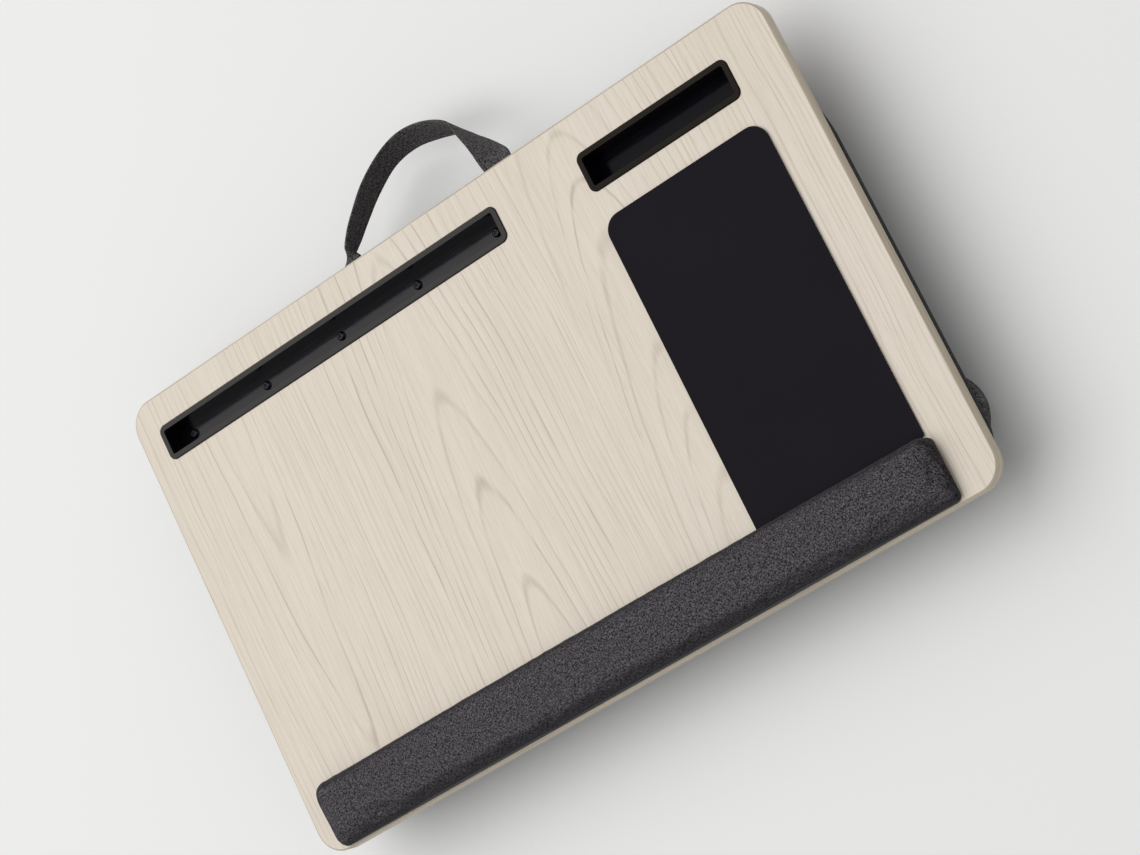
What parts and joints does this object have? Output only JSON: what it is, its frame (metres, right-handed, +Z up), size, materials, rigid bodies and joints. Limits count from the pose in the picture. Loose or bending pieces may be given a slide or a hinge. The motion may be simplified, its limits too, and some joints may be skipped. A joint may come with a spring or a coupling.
{
  "type": "lap desk",
  "caption": "Lap desk with wood-grain board, tablet slot, phone slot, mouse pad, padded wrist rest, fabric bolster cushion and a swinging carry handle.",
  "frame": {"origin": "on the surface the cushion rests on, under the middle of the object's box (board and handle together)", "axes": "+X to the user's right, +Y from the user's edge to the carry handle, +Z up through the board"},
  "size_m": [0.55, 0.4126, 0.0766],
  "materials": {
    "board_core": "raw fibreboard",
    "wood_laminate": "pale printed wood grain, satin",
    "backing_sheet": "plain laminate, matt",
    "edge_band": "satin",
    "moulded_tray": "black, polished mould",
    "black_screw": "black zinc",
    "mouse_pad": "smooth coated cloth, matt",
    "pad_backing": "foam rubber",
    "adhesive": "tape",
    "heather_cloth": "charcoal heather weave",
    "foam": "open-cell foam",
    "wrist_base": "matt",
    "hardboard": "pressed hardboard",
    "fill": "loose polyester fill",
    "handle_webbing": "folded and topstitched cloth strap"
  },
  "bodies": {
    "desk": {"board_core": "board_core", "top_laminate": "wood_laminate", "backing_sheet": "backing_sheet", "edge_band": "edge_band", "tablet_tray": "moulded_tray", "tablet_tray_screws": "black_screw", "phone_tray": "moulded_tray", "mouse_pad_face": "mouse_pad", "mouse_pad_backing": "pad_backing", "mouse_pad_adhesive": "adhesive", "wrist_rest_cover": "heather_cloth", "wrist_rest_foam": "foam", "wrist_rest_base": "wrist_base", "wrist_rest_tape": "adhesive", "cushion_foam": "foam", "cushion_panel": "hardboard", "cushion_cloth": "heather_cloth", "front_bolster_cover": "heather_cloth", "front_bolster_fill": "fill", "back_bolster_cover": "heather_cloth", "back_bolster_fill": "fill", "handle_anchors": "handle_webbing", "handle_screws": "black_screw", "handle_washers": "black_screw"},
    "handle": {"handle_strap": "handle_webbing"}
  },
  "joints": [
    {"name": "handle_swing", "type": "hinge", "parent": "desk", "child": "handle", "pos_m": [-0.0048, 0.14067, 0.0486], "axis": [1, 0, 0], "range_deg": [-14, 55]}
  ]
}
